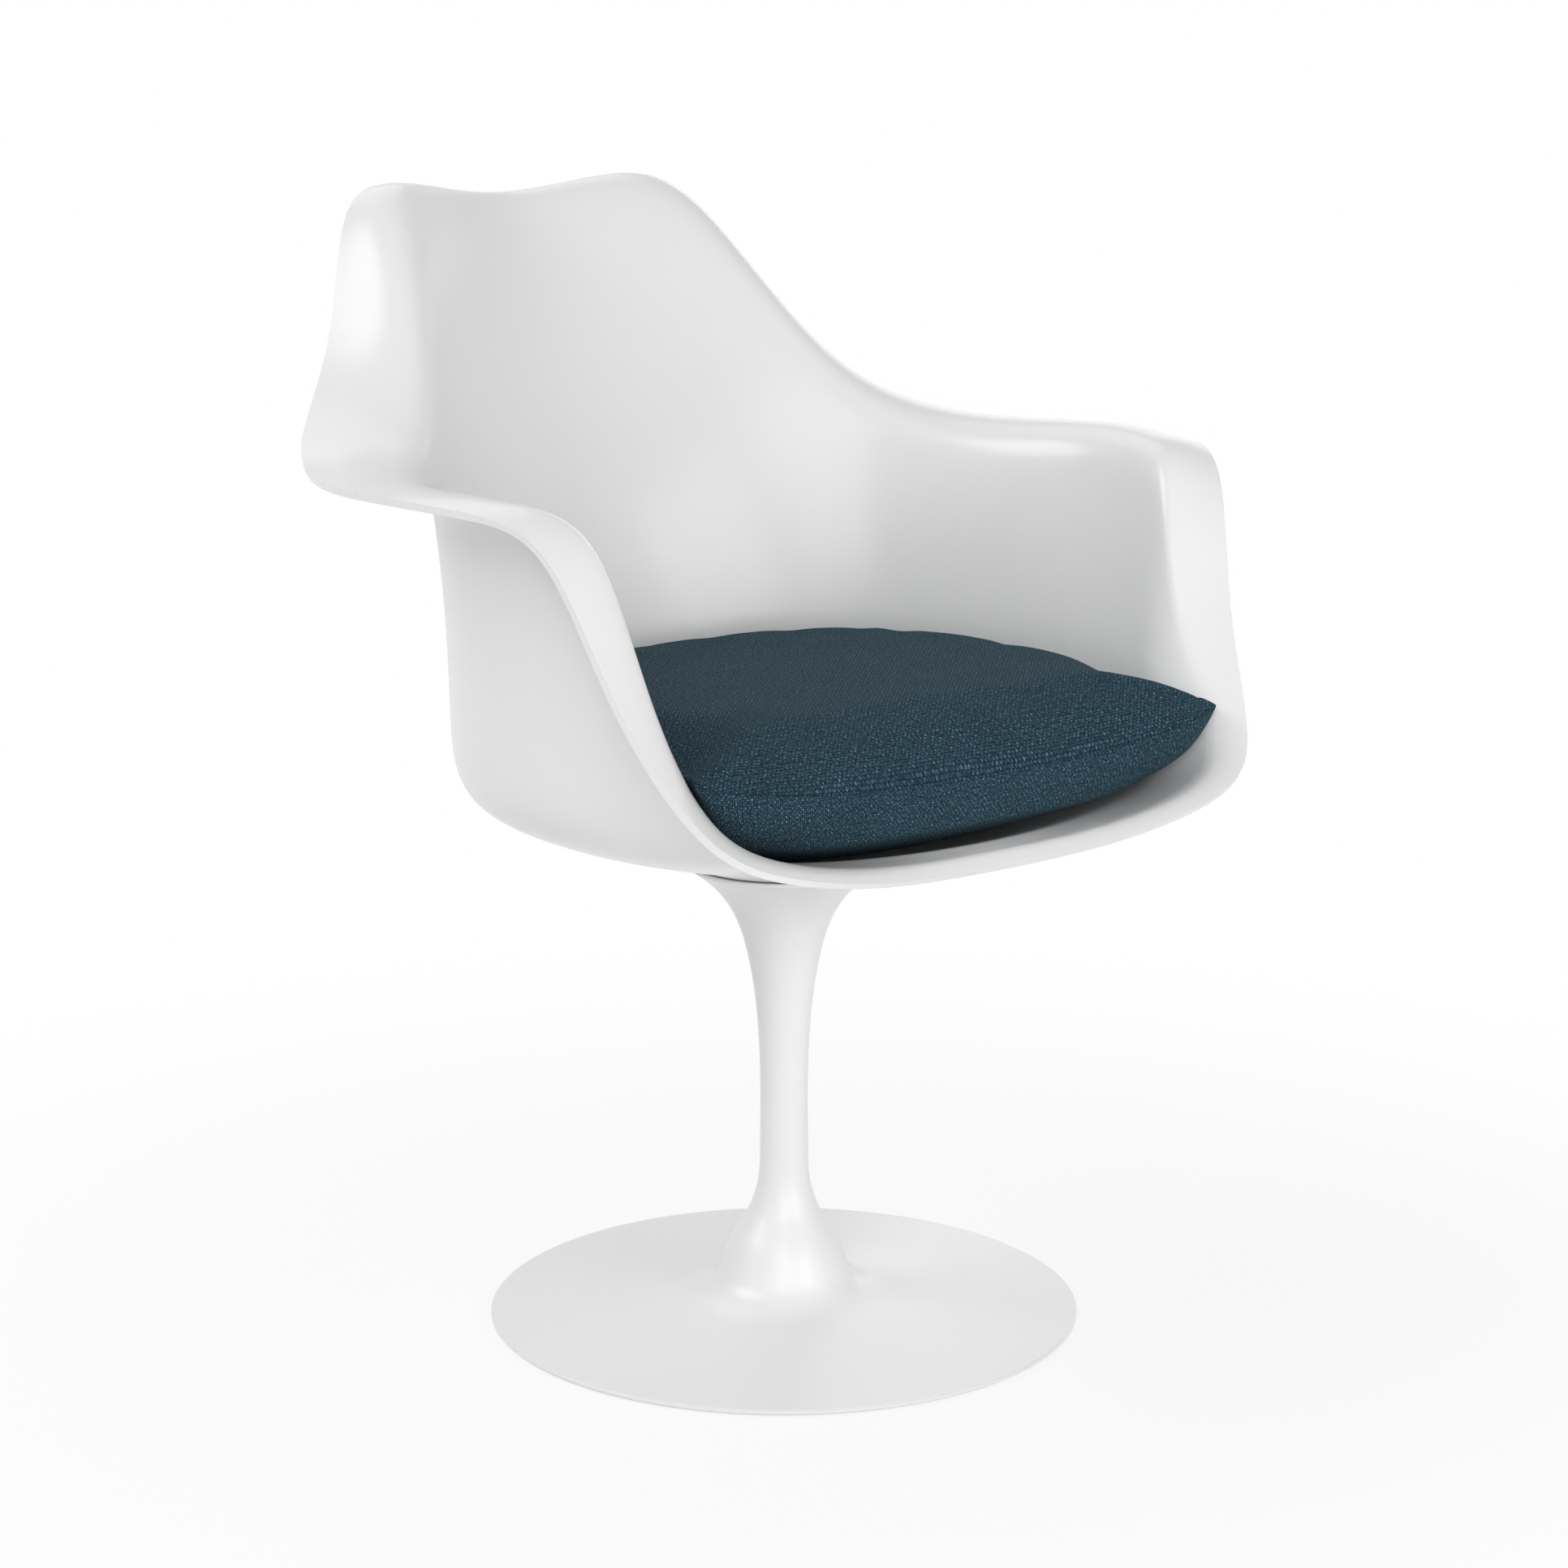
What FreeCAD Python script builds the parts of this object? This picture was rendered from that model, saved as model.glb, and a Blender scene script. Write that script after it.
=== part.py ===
import FreeCAD, Part
import math
import os

# Pedestal swivel armchair: a moulded bucket shell with a rolled rim turns on a trumpet-shaped
# cast pedestal, and a fitted cushion with a zipped cover lies in the bucket.
# Millimetres, +Z up. The origin is where the swivel axis meets the floor, and the sitter faces -Y.

Vec = FreeCAD.Vector
UP = Vec(0, 0, 1)

# Driving dimensions of the bucket shell
SHELL_T = 5.5
FLOOR_Z = 361.0
HUB_R = 84.0
BOWL_HALF_WIDTH = 249.0
BOWL_BACK = 206.0
BOWL_FRONT = 192.0
BOWL_CENTRE_Y = -16.0
BOWL_SQUARENESS = 2.35
FOOT_Z_SIDE = 402.0
FOOT_Z_FRONT = 390.0
WALL_STEPS = (0.22, 0.52, 0.82)

# Rim stations of the right half, from the middle of the front edge round to the middle of the back.
# Each is: free edge x, y, z; how far the lip reaches in from that edge; how far it rises above it;
# how late the wall flares out to the lip; and the angle of the wall's foot round the bowl.
RIM_STATIONS = (
    (0, -223, 375, 6, 9, 1.0, -90),
    (106, -239, 382, 8, 8, 1.0, -70),
    (201, -248, 403, 13, 7, 1.0, -53),
    (245, -229, 426, 25, 9, 1.0, -44),
    (272, -168, 511, 39, 12, 1.0, -38),
    (297, -139, 622, 49, 14, 1.0, -30),
    (321, -76, 630, 59, 12, 1.0, -19),
    (344, 6, 634, 73, 10, 1.3, -4),
    (314, 119, 627, 90, 9, 3.2, 13),
    (270, 216, 636, 94, 9, 4.3, 39),
    (200, 270, 699, 76, 10, 3.4, 54),
    (161, 325, 794, 54, 10, 2.3, 69),
    (115, 345, 817, 34, 9, 1.9, 80),
    (0, 363, 787, 17, 8, 1.8, 90),
)

# Boss under the shell, and the pedestal it turns on
BOSS_R = 68.5
BOSS_BOTTOM = 340.0
BOSS_BORE_R = 62.0
HEAD_R = 69.0
HEAD_TOP = 338.5
HEAD_BAND = 2.8
CEILING_Z = FLOOR_Z - SHELL_T
BASE_R = 215.4
RIM_BOTTOM = 1.2

# Outline of the pedestal: radius and height, from the rim of the foot up to the flared head
PEDESTAL_OUTLINE = (
    (213.6, 4.7), (176.0, 6.9), (127.0, 10.6), (86.0, 14.7), (64.0, 19.0), (52.0, 27.0),
    (45.3, 40.5), (37.5, 58.0), (26.0, 77.5), (19.6, 97.0), (17.4, 135.0), (17.3, 172.0),
    (18.4, 208.0), (20.9, 238.0), (25.8, 268.0), (31.0, 288.0), (41.6, 310.0), (52.5, 323.0),
    (68.0, 335.4),
)
# Outline of the hollow under the foot, up to the bore of the stem
HOLLOW_OUTLINE = (
    (198.0, 2.2), (127.0, 6.2), (88.0, 9.6), (62.0, 14.5), (46.0, 24.0), (38.5, 39.0),
    (31.0, 56.0), (19.5, 77.0), (13.4, 100.0), (12.6, 130.0),
)
RIB_COUNT = 6

# Swivel bearing, all on the axis
SPINDLE_R = 10.0
RUNNING_CLEARANCE = 0.05
SPINDLE_BOTTOM = 216.0
LOWER_BUSH = (228.0, 252.0)
UPPER_BUSH = (294.0, 318.0)
BUSH_R = 13.5
STEM_BORE_R = 12.6
RECESS_R = 27.0
RECESS_FLOOR = 318.0
RACE_T = 3.0
RACE_R = (14.6, 24.0)
ROLLER_R = 2.5
ROLLER_PLAY = 0.02
ROLLER_COUNT = 12
ROLLER_SPAN = (16.2, 22.6)
CAGE_T = 2.0
PLATE_R = 58.0
PLATE_BOTTOM = 347.0
SCREW_CIRCLE_R = 44.0
SCREW_COUNT = 4
SCREW_R = 4.0
SCREW_HEAD_R = 8.0

# Cushion, from the middle of its front round to the middle of its back.
# Each is: lower seam x, y; upper seam x, y, z.
CUSHION_STATIONS = (
    (0, -206, 0, -218, 437),
    (72, -206, 88, -218, 439),
    (128, -202, 160, -218, 446),
    (158, -190, 206, -213, 453),
    (176, -170, 222, -196, 456),
    (188, -143, 201, -163, 452),
    (208, -104, 223, -112, 447),
    (220, -50, 239, -55, 443),
    (217, 37, 236, 40, 442),
    (179, 111, 195, 118, 442),
    (141, 140, 153, 149, 442),
    (93, 160, 101, 170, 442),
    (50, 168, 54, 178, 442),
    (0, 170, 0, 181, 442),
)
CUSHION_BOTTOM = FLOOR_Z + 3.0
SEAM_LOW_Z = 404.0
SHOULDER_RISE = 12.0
CROWN_EDGE_Z = 469.0
CROWN_EDGE_SHARE = 0.84
CROWN_TOP = 474.0
CROWN_FLAT_R = 50.0
COVER_T = 1.5
ZIP_ARC_R = 400.0
ZIP_ARC_TOP_Y = 180.3
ZIP_Z = 430.0
ZIP_HALF_ANGLE = 12.0
PAD_T = 1.1


def save(shape, node):
    """Write one node's solids as STEP."""
    shape.exportStep("parts/" + node + ".step")


def ring(inner, outer, bottom, top):
    """A flat ring or bush about the swivel axis."""
    body = Part.makeCylinder(outer, top - bottom, Vec(0, 0, bottom))
    return body.cut(Part.makeCylinder(inner, top - bottom, Vec(0, 0, bottom)))


def round_the_axis(shape, count, first=0.0):
    """Copies of a shape, evenly spaced round the swivel axis."""
    copies = []
    for i in range(count):
        one = shape.copy()
        one.rotate(Vec(0, 0, 0), UP, first + 360.0 * i / count)
        copies.append(one)
    return copies


def spline_edge(points):
    """One smooth edge through points of an outline in the XZ plane."""
    curve = Part.BSplineCurve()
    curve.interpolate([Vec(r, 0, z) for r, z in points])
    return curve.toShape()


def line_edges(points):
    """Straight edges through points of an outline in the XZ plane."""
    places = [Vec(r, 0, z) for r, z in points]
    return [Part.makeLine(a, b) for a, b in zip(places, places[1:])]


def revolve(edges):
    """A solid turned from a closed outline in the XZ plane."""
    face = Part.Face(Part.Wire(Part.__sortEdges__(edges)))
    return face.revolve(Vec(0, 0, 0), UP, 360)


# Bucket shell

def wall_foot(angle):
    """Where the wall stands on the floor of the bowl, at an angle from +X."""
    c = math.cos(math.radians(angle))
    s = math.sin(math.radians(angle))
    power = 2.0 / BOWL_SQUARENESS
    depth = BOWL_BACK if s > 0 else BOWL_FRONT
    x = BOWL_HALF_WIDTH * abs(c) ** power
    y = BOWL_CENTRE_Y + math.copysign(depth * abs(s) ** power, s)
    z = FOOT_Z_SIDE + (FOOT_Z_FRONT - FOOT_Z_SIDE) * max(0.0, -s) ** 2
    return Vec(x, y, z)


def on_circle(radius, index, z):
    """A pole of a ring about the axis, for the rim station of that index."""
    half_turn = len(RIM_STATIONS) - 1
    angle = math.radians(-90.0 + 180.0 * index / half_turn)
    # A cubic spline runs inside its poles by this share of the radius
    shrink = (2.0 + math.cos(math.pi / half_turn)) / 3.0
    return Vec(radius / shrink * math.cos(angle), radius / shrink * math.sin(angle), z)


def station_poles(index):
    """Poles of the sitter's side at one rim station, from the hub to the free edge."""
    x, y, z, lip_width, lip_rise, flare, angle = RIM_STATIONS[index]
    edge = Vec(x, y, z)
    foot = wall_foot(angle)
    inward = Vec(foot.x - x, foot.y - y, 0)
    inward.normalize()
    ridge = edge + inward * lip_width + UP * lip_rise
    hub = on_circle(HUB_R, index, FLOOR_Z)
    dish = on_circle(HUB_R + 26.0, index, FLOOR_Z)
    floor = dish + (foot - dish) * 0.52
    floor.z = FLOOR_Z + (foot.z - FLOOR_Z) * 0.42
    poles = [hub, dish, floor, foot]
    for step in WALL_STEPS:
        out = step ** flare
        poles.append(Vec(
            foot.x + (ridge.x - foot.x) * out,
            foot.y + (ridge.y - foot.y) * out,
            foot.z + (ridge.z - foot.z) * step,
        ))
    return poles + [ridge, edge]


def whole_ring(half):
    """A closed ring of poles from those of the right half, which ends on the middle plane."""
    mirrored = [Vec(-p.x, p.y, p.z) for p in half[-2:0:-1]]
    return list(half) + mirrored


def rings_from_stations():
    """The control net as rings, from the hub to the free edge."""
    stations = [station_poles(i) for i in range(len(RIM_STATIONS))]
    return [whole_ring([s[k] for s in stations]) for k in range(len(stations[0]))]


def net_surface(rings):
    """A smooth surface from a control net that closes on itself round the rim."""
    around = len(rings[0])
    across = len(rings)
    poles = [[rings[k][i] for k in range(across)] for i in range(around)]
    spans = across - 3
    surface = Part.BSplineSurface()
    surface.buildFromPolesMultsKnots(
        poles,
        [1] * (around + 1),
        [4] + [1] * (spans - 1) + [4],
        [float(i) for i in range(around + 1)],
        [float(k) for k in range(spans + 1)],
        True, False, 3, 3,
    )
    return surface


def pole_parameter(count_k, k):
    """The place across the surface that pole k pulls on most."""
    spans = count_k - 3
    knots = [0.0] * 4 + [float(s) for s in range(1, spans)] + [float(spans)] * 4
    return sum(knots[k + 1:k + 4]) / 3.0


def moved_net(rings, distance):
    """The same net moved away from the sitter by a distance, square to the surface."""
    surface = net_surface(rings)
    around = len(rings[0])
    start = best_phase(surface, rings, around)
    moved = []
    for k, row in enumerate(rings):
        v = pole_parameter(len(rings), k)
        moved.append([
            pole + outward(surface, (i + start) % around, v) * distance
            for i, pole in enumerate(row)
        ])
    return moved


def best_phase(surface, rings, around):
    """The parameter round the rim at which the first station's poles pull most."""
    target = rings[-1][0]
    top = len(rings) - 3.0
    return min(range(around), key=lambda u: surface.value(float(u), top).distanceToPoint(target))


def outward(surface, u, v):
    """The direction square to the shell, away from the sitter."""
    along, across = surface.tangent(float(u), v)
    normal = along.cross(across)
    normal.normalize()
    return normal


def hub_disc(face):
    """The flat disc that closes a net's face at its hub."""
    closed = [e for e in face.Edges if e.isClosed()]
    return Part.Face(Part.Wire(min(closed, key=lambda e: e.Length)))


def strip(ring_a, ring_b):
    """A ruled strip between two rings of poles."""
    across = [[a + (b - a) * (k / 3.0) for a, b in zip(ring_a, ring_b)] for k in range(4)]
    return net_surface(across).toShape()


def closed_solid(faces):
    """A solid from faces that share their edges."""
    skin = Part.Shell(faces)
    skin.sewShape()
    solid = Part.Solid(skin)
    if solid.Volume < 0:
        solid.reverse()
    return solid


def shell_blank():
    """The moulded shell before its boss is cupped and its screw holes are drilled."""
    inner_rings = rings_from_stations()
    outer_rings = moved_net(inner_rings, SHELL_T)
    boss = [on_circle(BOSS_R, i, BOSS_BOTTOM) for i in range(len(RIM_STATIONS))]
    cone = [on_circle(BOSS_R + 17.0, i, BOSS_BOTTOM + 7.0) for i in range(len(RIM_STATIONS))]
    outer_rings[0] = whole_ring(boss)
    outer_rings[1] = whole_ring(cone)
    inner = net_surface(inner_rings).toShape()
    outer = net_surface(outer_rings).toShape()
    rim = strip(inner_rings[-1], outer_rings[-1])
    return closed_solid([inner, outer, rim, hub_disc(inner), hub_disc(outer)])


def seat_shell():
    """The shell with the cup of its boss and the four countersunk screw holes."""
    cup = Part.makeCylinder(BOSS_BORE_R, CEILING_Z - BOSS_BOTTOM + 5, Vec(0, 0, BOSS_BOTTOM - 5))
    hole = Part.makeCylinder(SCREW_R + 0.3, 30, Vec(SCREW_CIRCLE_R, 0, CEILING_Z - 5))
    sink = Part.makeCone(SCREW_R + 0.3, SCREW_HEAD_R + 0.6, 4.5, Vec(SCREW_CIRCLE_R, 0, FLOOR_Z - 4.5))
    holes = round_the_axis(hole.fuse(sink), SCREW_COUNT, 45.0)
    return shell_blank().cut([cup] + holes)


# Pedestal and bearing

def pedestal_base():
    """The hollow casting: foot, stem and flared head in one."""
    outside = spline_edge(PEDESTAL_OUTLINE)
    hollow = spline_edge(HOLLOW_OUTLINE)
    head = line_edges((
        PEDESTAL_OUTLINE[-1], (HEAD_R, HEAD_TOP - HEAD_BAND + 0.4), (HEAD_R, HEAD_TOP - 0.8),
        (HEAD_R - 0.8, HEAD_TOP), (RECESS_R, HEAD_TOP), (RECESS_R, RECESS_FLOOR),
        (BUSH_R, RECESS_FLOOR), (BUSH_R, LOWER_BUSH[0]), (STEM_BORE_R, LOWER_BUSH[0]),
        HOLLOW_OUTLINE[-1],
    ))
    groove_top = RIM_BOTTOM + 2.0
    foot = line_edges((
        HOLLOW_OUTLINE[0], (198.0, RIM_BOTTOM), (200.0, RIM_BOTTOM), (200.0, groove_top),
        (208.0, groove_top), (208.0, RIM_BOTTOM), (BASE_R - 1.4, RIM_BOTTOM),
        (BASE_R, RIM_BOTTOM + 1.4), (BASE_R, RIM_BOTTOM + 2.4), PEDESTAL_OUTLINE[0],
    ))
    casting = revolve([outside, hollow] + head + foot)
    return casting.fuse(round_the_axis(rib_blade(), RIB_COUNT, 30.0)).removeSplitter()


def rib_blade():
    """One stiffening rib under the foot, from the rim in to the stem."""
    outline = (
        (196.0, 2.4), (92.0, 2.4), (48.0, 14.0), (34.0, 34.0), (34.0, 54.0), (43.0, 36.0),
        (50.0, 25.0), (64.0, 16.0), (88.0, 12.0), (127.0, 8.4), (176.0, 5.0), (196.0, 3.6),
    )
    wire = Part.makePolygon([Vec(r, -2.0, z) for r, z in outline + outline[:1]])
    return Part.Face(wire).extrude(Vec(0, 4.0, 0))


def roller_cage():
    """The flat cage that keeps the rollers apart."""
    middle = RECESS_FLOOR + RACE_T + ROLLER_R
    cage = ring(RACE_R[0] + 0.6, RACE_R[1] - 0.2, middle - CAGE_T / 2, middle + CAGE_T / 2)
    near, far = ROLLER_SPAN
    half = ROLLER_R + 0.1
    pocket = Part.makeBox(far - near + 0.2, 2 * half, 2 * CAGE_T, Vec(near - 0.1, -half, middle - CAGE_T))
    return cage.cut(round_the_axis(pocket, ROLLER_COUNT))


def bearing_rollers():
    """The rollers of the thrust bearing, each lying along a radius."""
    near, far = ROLLER_SPAN
    place = Vec(near, 0, RECESS_FLOOR + RACE_T + ROLLER_R)
    roller = Part.makeCylinder(ROLLER_R - ROLLER_PLAY, far - near, place, Vec(1, 0, 0))
    return Part.makeCompound(round_the_axis(roller, ROLLER_COUNT))


def swivel_plate():
    """The cast plate that carries the shell, with its hub on the bearing."""
    hub_bottom = RECESS_FLOOR + 2 * RACE_T + 2 * ROLLER_R
    hub = Part.makeCylinder(RACE_R[1], PLATE_BOTTOM - hub_bottom, Vec(0, 0, hub_bottom))
    disc = Part.makeCylinder(PLATE_R, CEILING_Z - PLATE_BOTTOM, Vec(0, 0, PLATE_BOTTOM))
    bore = Part.makeCylinder(SPINDLE_R, 60, Vec(0, 0, hub_bottom - 5))
    tapped = Part.makeCylinder(SCREW_R, 30, Vec(SCREW_CIRCLE_R, 0, PLATE_BOTTOM - 5))
    return hub.fuse(disc).removeSplitter().cut([bore] + round_the_axis(tapped, SCREW_COUNT, 45.0))


def spindle():
    """The steel spindle, fixed in the plate, with a groove for the retaining ring."""
    shaft = Part.makeCylinder(SPINDLE_R, CEILING_Z - SPINDLE_BOTTOM, Vec(0, 0, SPINDLE_BOTTOM))
    shaft = shaft.makeChamfer(1.2, [e for e in shaft.Edges if e.BoundBox.ZMax < SPINDLE_BOTTOM + 0.1])
    return shaft.cut(ring(SPINDLE_R - 0.8, SPINDLE_R + 2, 222.6, 224.2))


def retaining_ring():
    """The snap ring under the washer, open on one side."""
    snap = ring(SPINDLE_R - 0.8, SPINDLE_R + 1.6, 222.6, 224.2)
    return snap.cut(Part.makeBox(20, 5, 4, Vec(0, -2.5, 221)))


def mounting_screws():
    """The countersunk screws that hold the shell to the plate."""
    shank = Part.makeCylinder(SCREW_R, FLOOR_Z - 0.3 - PLATE_BOTTOM, Vec(SCREW_CIRCLE_R, 0, PLATE_BOTTOM))
    head = Part.makeCone(SCREW_R, SCREW_HEAD_R, 4.2, Vec(SCREW_CIRCLE_R, 0, FLOOR_Z - 4.5))
    corners = [Vec(SCREW_CIRCLE_R + 2.9 * math.cos(math.radians(60 * i)),
                   2.9 * math.sin(math.radians(60 * i)), FLOOR_Z - 2.8) for i in range(7)]
    socket = Part.Face(Part.makePolygon(corners)).extrude(UP * 4)
    screw = shank.fuse(head).removeSplitter().cut(socket)
    return Part.makeCompound(round_the_axis(screw, SCREW_COUNT, 45.0))


def glide_ring():
    """The soft ring pressed into the groove under the foot."""
    return revolve(line_edges((
        (200.0, RIM_BOTTOM + 2.0), (200.0, 0.8), (200.8, 0.0), (207.2, 0.0), (208.0, 0.8),
        (208.0, RIM_BOTTOM + 2.0), (200.0, RIM_BOTTOM + 2.0),
    )))


# Cushion

def seam_rings(inset):
    """The poles of the lower and the upper seam, moved in by an inset."""
    low = []
    high = []
    for low_x, low_y, x, y, z in CUSHION_STATIONS:
        inward = Vec(-x, -y, 0).normalize() * inset
        low.append(Vec(low_x, low_y, SEAM_LOW_Z) + inward)
        high.append(Vec(x, y, z) + inward)
    return whole_ring(low), whole_ring(high)


def circle_ring(radius, z):
    """A ring of poles on a circle about the axis."""
    return whole_ring([on_circle(radius, i, z) for i in range(len(RIM_STATIONS))])


def between_rings(ring_a, ring_b, share, rise):
    """A ring part of the way from one to another in plan, and by another share in height."""
    return [
        Vec(a.x + (b.x - a.x) * share, a.y + (b.y - a.y) * share, a.z + (b.z - a.z) * rise)
        for a, b in zip(ring_a, ring_b)
    ]


def bottom_rings(inset):
    """Rings of the underside, from its flat middle out to the lower seam."""
    low = CUSHION_BOTTOM + inset
    dish = circle_ring(HUB_R + 26.0, low)
    seam = seam_rings(inset)[0]
    return [circle_ring(HUB_R, low), dish, between_rings(dish, seam, 0.55, 0.45), seam]


def boxing_rings(inset):
    """Rings of the upright band, from the lower seam to the upper one."""
    low, high = seam_rings(inset)
    return [low, between_rings(low, high, 0.5, 0.33), between_rings(low, high, 0.85, 0.67), high]


def top_rings(inset):
    """Rings of the crowned top, from its flat middle out to the upper seam."""
    top = CROWN_TOP - inset
    seam = seam_rings(inset)[1]
    edge = [Vec(p.x * CROWN_EDGE_SHARE, p.y * CROWN_EDGE_SHARE, CROWN_EDGE_Z - inset) for p in seam]
    shoulder = [p + UP * (SHOULDER_RISE - inset) for p in seam]
    flat = [circle_ring(CROWN_FLAT_R, top), circle_ring(CROWN_FLAT_R + 45.0, top)]
    return flat + [edge, shoulder, seam]


def panel(rings_of, hub=False):
    """A piece of cloth as a thin solid: two faces, its seams and, on a flat middle, two discs."""
    outside = rings_of(0.0)
    inside = rings_of(COVER_T)
    faces = [net_surface(outside).toShape(), net_surface(inside).toShape()]
    faces.append(strip(outside[-1], inside[-1]))
    if hub:
        faces += [hub_disc(faces[0]), hub_disc(faces[1])]
    else:
        faces.append(strip(outside[0], inside[0]))
    return closed_solid(faces)


def cushion_foam():
    """The foam core, which fills the cover."""
    skins = [net_surface(rings(COVER_T)).toShape() for rings in (bottom_rings, boxing_rings, top_rings)]
    return closed_solid(skins + [hub_disc(skins[0]), hub_disc(skins[2])])


def back_strip(inner, outer, low, high, half_angle):
    """A strip bent round the cushion's back, about the centre of its arc."""
    centre = Vec(0, ZIP_ARC_TOP_Y - ZIP_ARC_R, low)
    sector = Part.makeCylinder(outer, high - low, centre, UP, 2 * half_angle)
    sector = sector.cut(Part.makeCylinder(inner, high - low, centre, UP, 360))
    sector.rotate(centre, UP, 90.0 - half_angle)
    return sector


def zip_tape():
    """The closed zip, a strip sewn to the back of the band."""
    return back_strip(ZIP_ARC_R, ZIP_ARC_R + 0.9, ZIP_Z - 8.0, ZIP_Z + 8.0, ZIP_HALF_ANGLE)


def zip_slider():
    """The slider with its pull tab, at the closed end of the zip."""
    body = back_strip(ZIP_ARC_R + 1.3, ZIP_ARC_R + 2.9, ZIP_Z - 5.0, ZIP_Z + 5.0, 0.7)
    tab = back_strip(ZIP_ARC_R + 2.9, ZIP_ARC_R + 3.6, ZIP_Z - 6.0, ZIP_Z + 6.0, 0.45)
    slider = body.fuse(tab)
    slider.rotate(Vec(0, ZIP_ARC_TOP_Y - ZIP_ARC_R, 0), UP, 1.0 - ZIP_HALF_ANGLE)
    return slider


def pads(bottom, top):
    """Grip pads on the flat of the floor, between the screws."""
    pad = Part.makeBox(13.0, 46.0, top - bottom, Vec(58.0, -23.0, bottom))
    return Part.makeCompound(round_the_axis(pad, 4))


def build():
    os.makedirs("parts", exist_ok=True)
    save(pedestal_base(), "pedestal_base")
    save(glide_ring(), "glide_ring")
    inside = SPINDLE_R + RUNNING_CLEARANCE
    save(ring(inside, BUSH_R, *LOWER_BUSH), "lower_bush")
    save(ring(inside, BUSH_R, *UPPER_BUSH), "upper_bush")
    race_top = RECESS_FLOOR + RACE_T
    save(ring(*RACE_R, RECESS_FLOOR, race_top), "lower_race")
    save(roller_cage(), "roller_cage")
    save(bearing_rollers(), "bearing_rollers")
    save(ring(*RACE_R, race_top + 2 * ROLLER_R, race_top + 2 * ROLLER_R + RACE_T), "upper_race")
    save(swivel_plate(), "swivel_plate")
    save(spindle(), "spindle")
    save(ring(SPINDLE_R + 0.1, STEM_BORE_R - 0.4, 224.2, LOWER_BUSH[0] - 0.3), "retaining_washer")
    save(retaining_ring(), "retaining_ring")
    save(mounting_screws(), "mounting_screws")
    save(seat_shell(), "seat_shell")
    save(pads(FLOOR_Z, FLOOR_Z + PAD_T), "hook_pads")
    save(cushion_foam(), "cushion_foam")
    save(panel(bottom_rings, hub=True), "cover_bottom_panel")
    save(panel(boxing_rings), "cover_boxing")
    save(panel(top_rings, hub=True), "cover_top_panel")
    save(pads(FLOOR_Z + PAD_T + 0.4, CUSHION_BOTTOM), "loop_pads")
    save(zip_tape(), "zip_tape")
    save(zip_slider(), "zip_slider")


build()
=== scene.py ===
import bpy
import bmesh
import math
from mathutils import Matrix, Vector
from mathutils.bvhtree import BVHTree
from mathutils.kdtree import KDTree


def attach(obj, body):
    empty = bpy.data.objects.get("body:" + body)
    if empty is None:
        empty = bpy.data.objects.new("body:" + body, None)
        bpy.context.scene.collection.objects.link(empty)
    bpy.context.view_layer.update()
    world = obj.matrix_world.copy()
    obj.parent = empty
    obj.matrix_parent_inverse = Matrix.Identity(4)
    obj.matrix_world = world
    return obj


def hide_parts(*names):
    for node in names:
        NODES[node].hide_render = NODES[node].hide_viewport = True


# Dressed scene of a pedestal swivel armchair: gloss white moulded shell, white trumpet pedestal,
# and a boxed seat cushion in a coarse teal weave with a zip along its back.
# Metres, +Z up, the sitter faces -Y, the swivel axis is the Z axis.

# Camera, from the photograph's perspective, taken as 1932 by 1932 pixels
IMAGE_SIZE = 1932
FOCAL_PX = 4663.5
SENSOR_MM = 36.0
CAMERA_TURN = math.radians(-38.206)
CAMERA_DISTANCE = 2.6454
CAMERA_HEIGHT = 0.97702
CAMERA_PITCH = math.radians(12.396)

# Light
AMBIENT = 0.31
WHITE = (1.0, 1.0, 1.0, 1.0)
FLOOR_HALF = 14.0
FLOOR_GLOW_NEAR = 0.84
FLOOR_GLOW_FAR = 1.0
SHADOW_REACH = (0.28, 1.1)

# Colours, as linear red, green and blue
GLOSS_WHITE = (0.803, 0.80, 0.797)
PEDESTAL_WHITE = (0.803, 0.80, 0.797)
THREAD_LIGHT = (0.125, 0.260, 0.345)
THREAD_MID = (0.034, 0.080, 0.112)
THREAD_DARK = (0.010, 0.028, 0.042)
# Near black painted shade, for the gaps between threads and along the upper seam
GAP_PAINTED_SHADE = (0.0020, 0.0060, 0.0095)
FOAM_YELLOW = (0.78, 0.70, 0.42)

# Cushion cover
LOOP_COUNT = 208
CUSHION_CENTRE_Y = -0.016
SEAM_ANGLE = 0.7
BOXING_SHARES = (0.0, 0.05, 0.14, 0.27, 0.40, 0.53, 0.66, 0.79, 0.91, 1.0)
SHOULDER_IN = 0.0035
SHOULDER_UP = 0.003
SEAM_CREASE = 0.5
WEAVE_PITCH = 0.00175
CLOTH_PRESSURE = 4.0
CLOTH_FRAMES = 20
CLOTH_CAP = 0.0022
CROWN_HEIGHT = 0.482
CROWN_REACH = 0.075
CROWN_FULLNESS = 3.2
CORNER_OUT = 0.024
CORNER_PLACE = (0.212, -0.160)
CORNER_SPREAD = (0.05, 0.075)
BAND_DROP = 2.6
PUSH_STEPS = 16
SHELL_GAP = 0.003
EAR_PLACE = (0.214, -0.196)
EAR_OUT = 0.008
EAR_WIDTH = 0.013

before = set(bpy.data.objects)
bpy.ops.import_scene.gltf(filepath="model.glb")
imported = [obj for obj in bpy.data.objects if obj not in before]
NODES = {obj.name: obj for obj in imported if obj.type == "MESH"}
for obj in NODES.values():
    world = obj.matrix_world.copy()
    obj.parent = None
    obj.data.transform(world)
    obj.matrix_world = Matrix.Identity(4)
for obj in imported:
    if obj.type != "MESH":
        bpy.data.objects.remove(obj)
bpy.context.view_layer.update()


# Selection and small helpers

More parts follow.
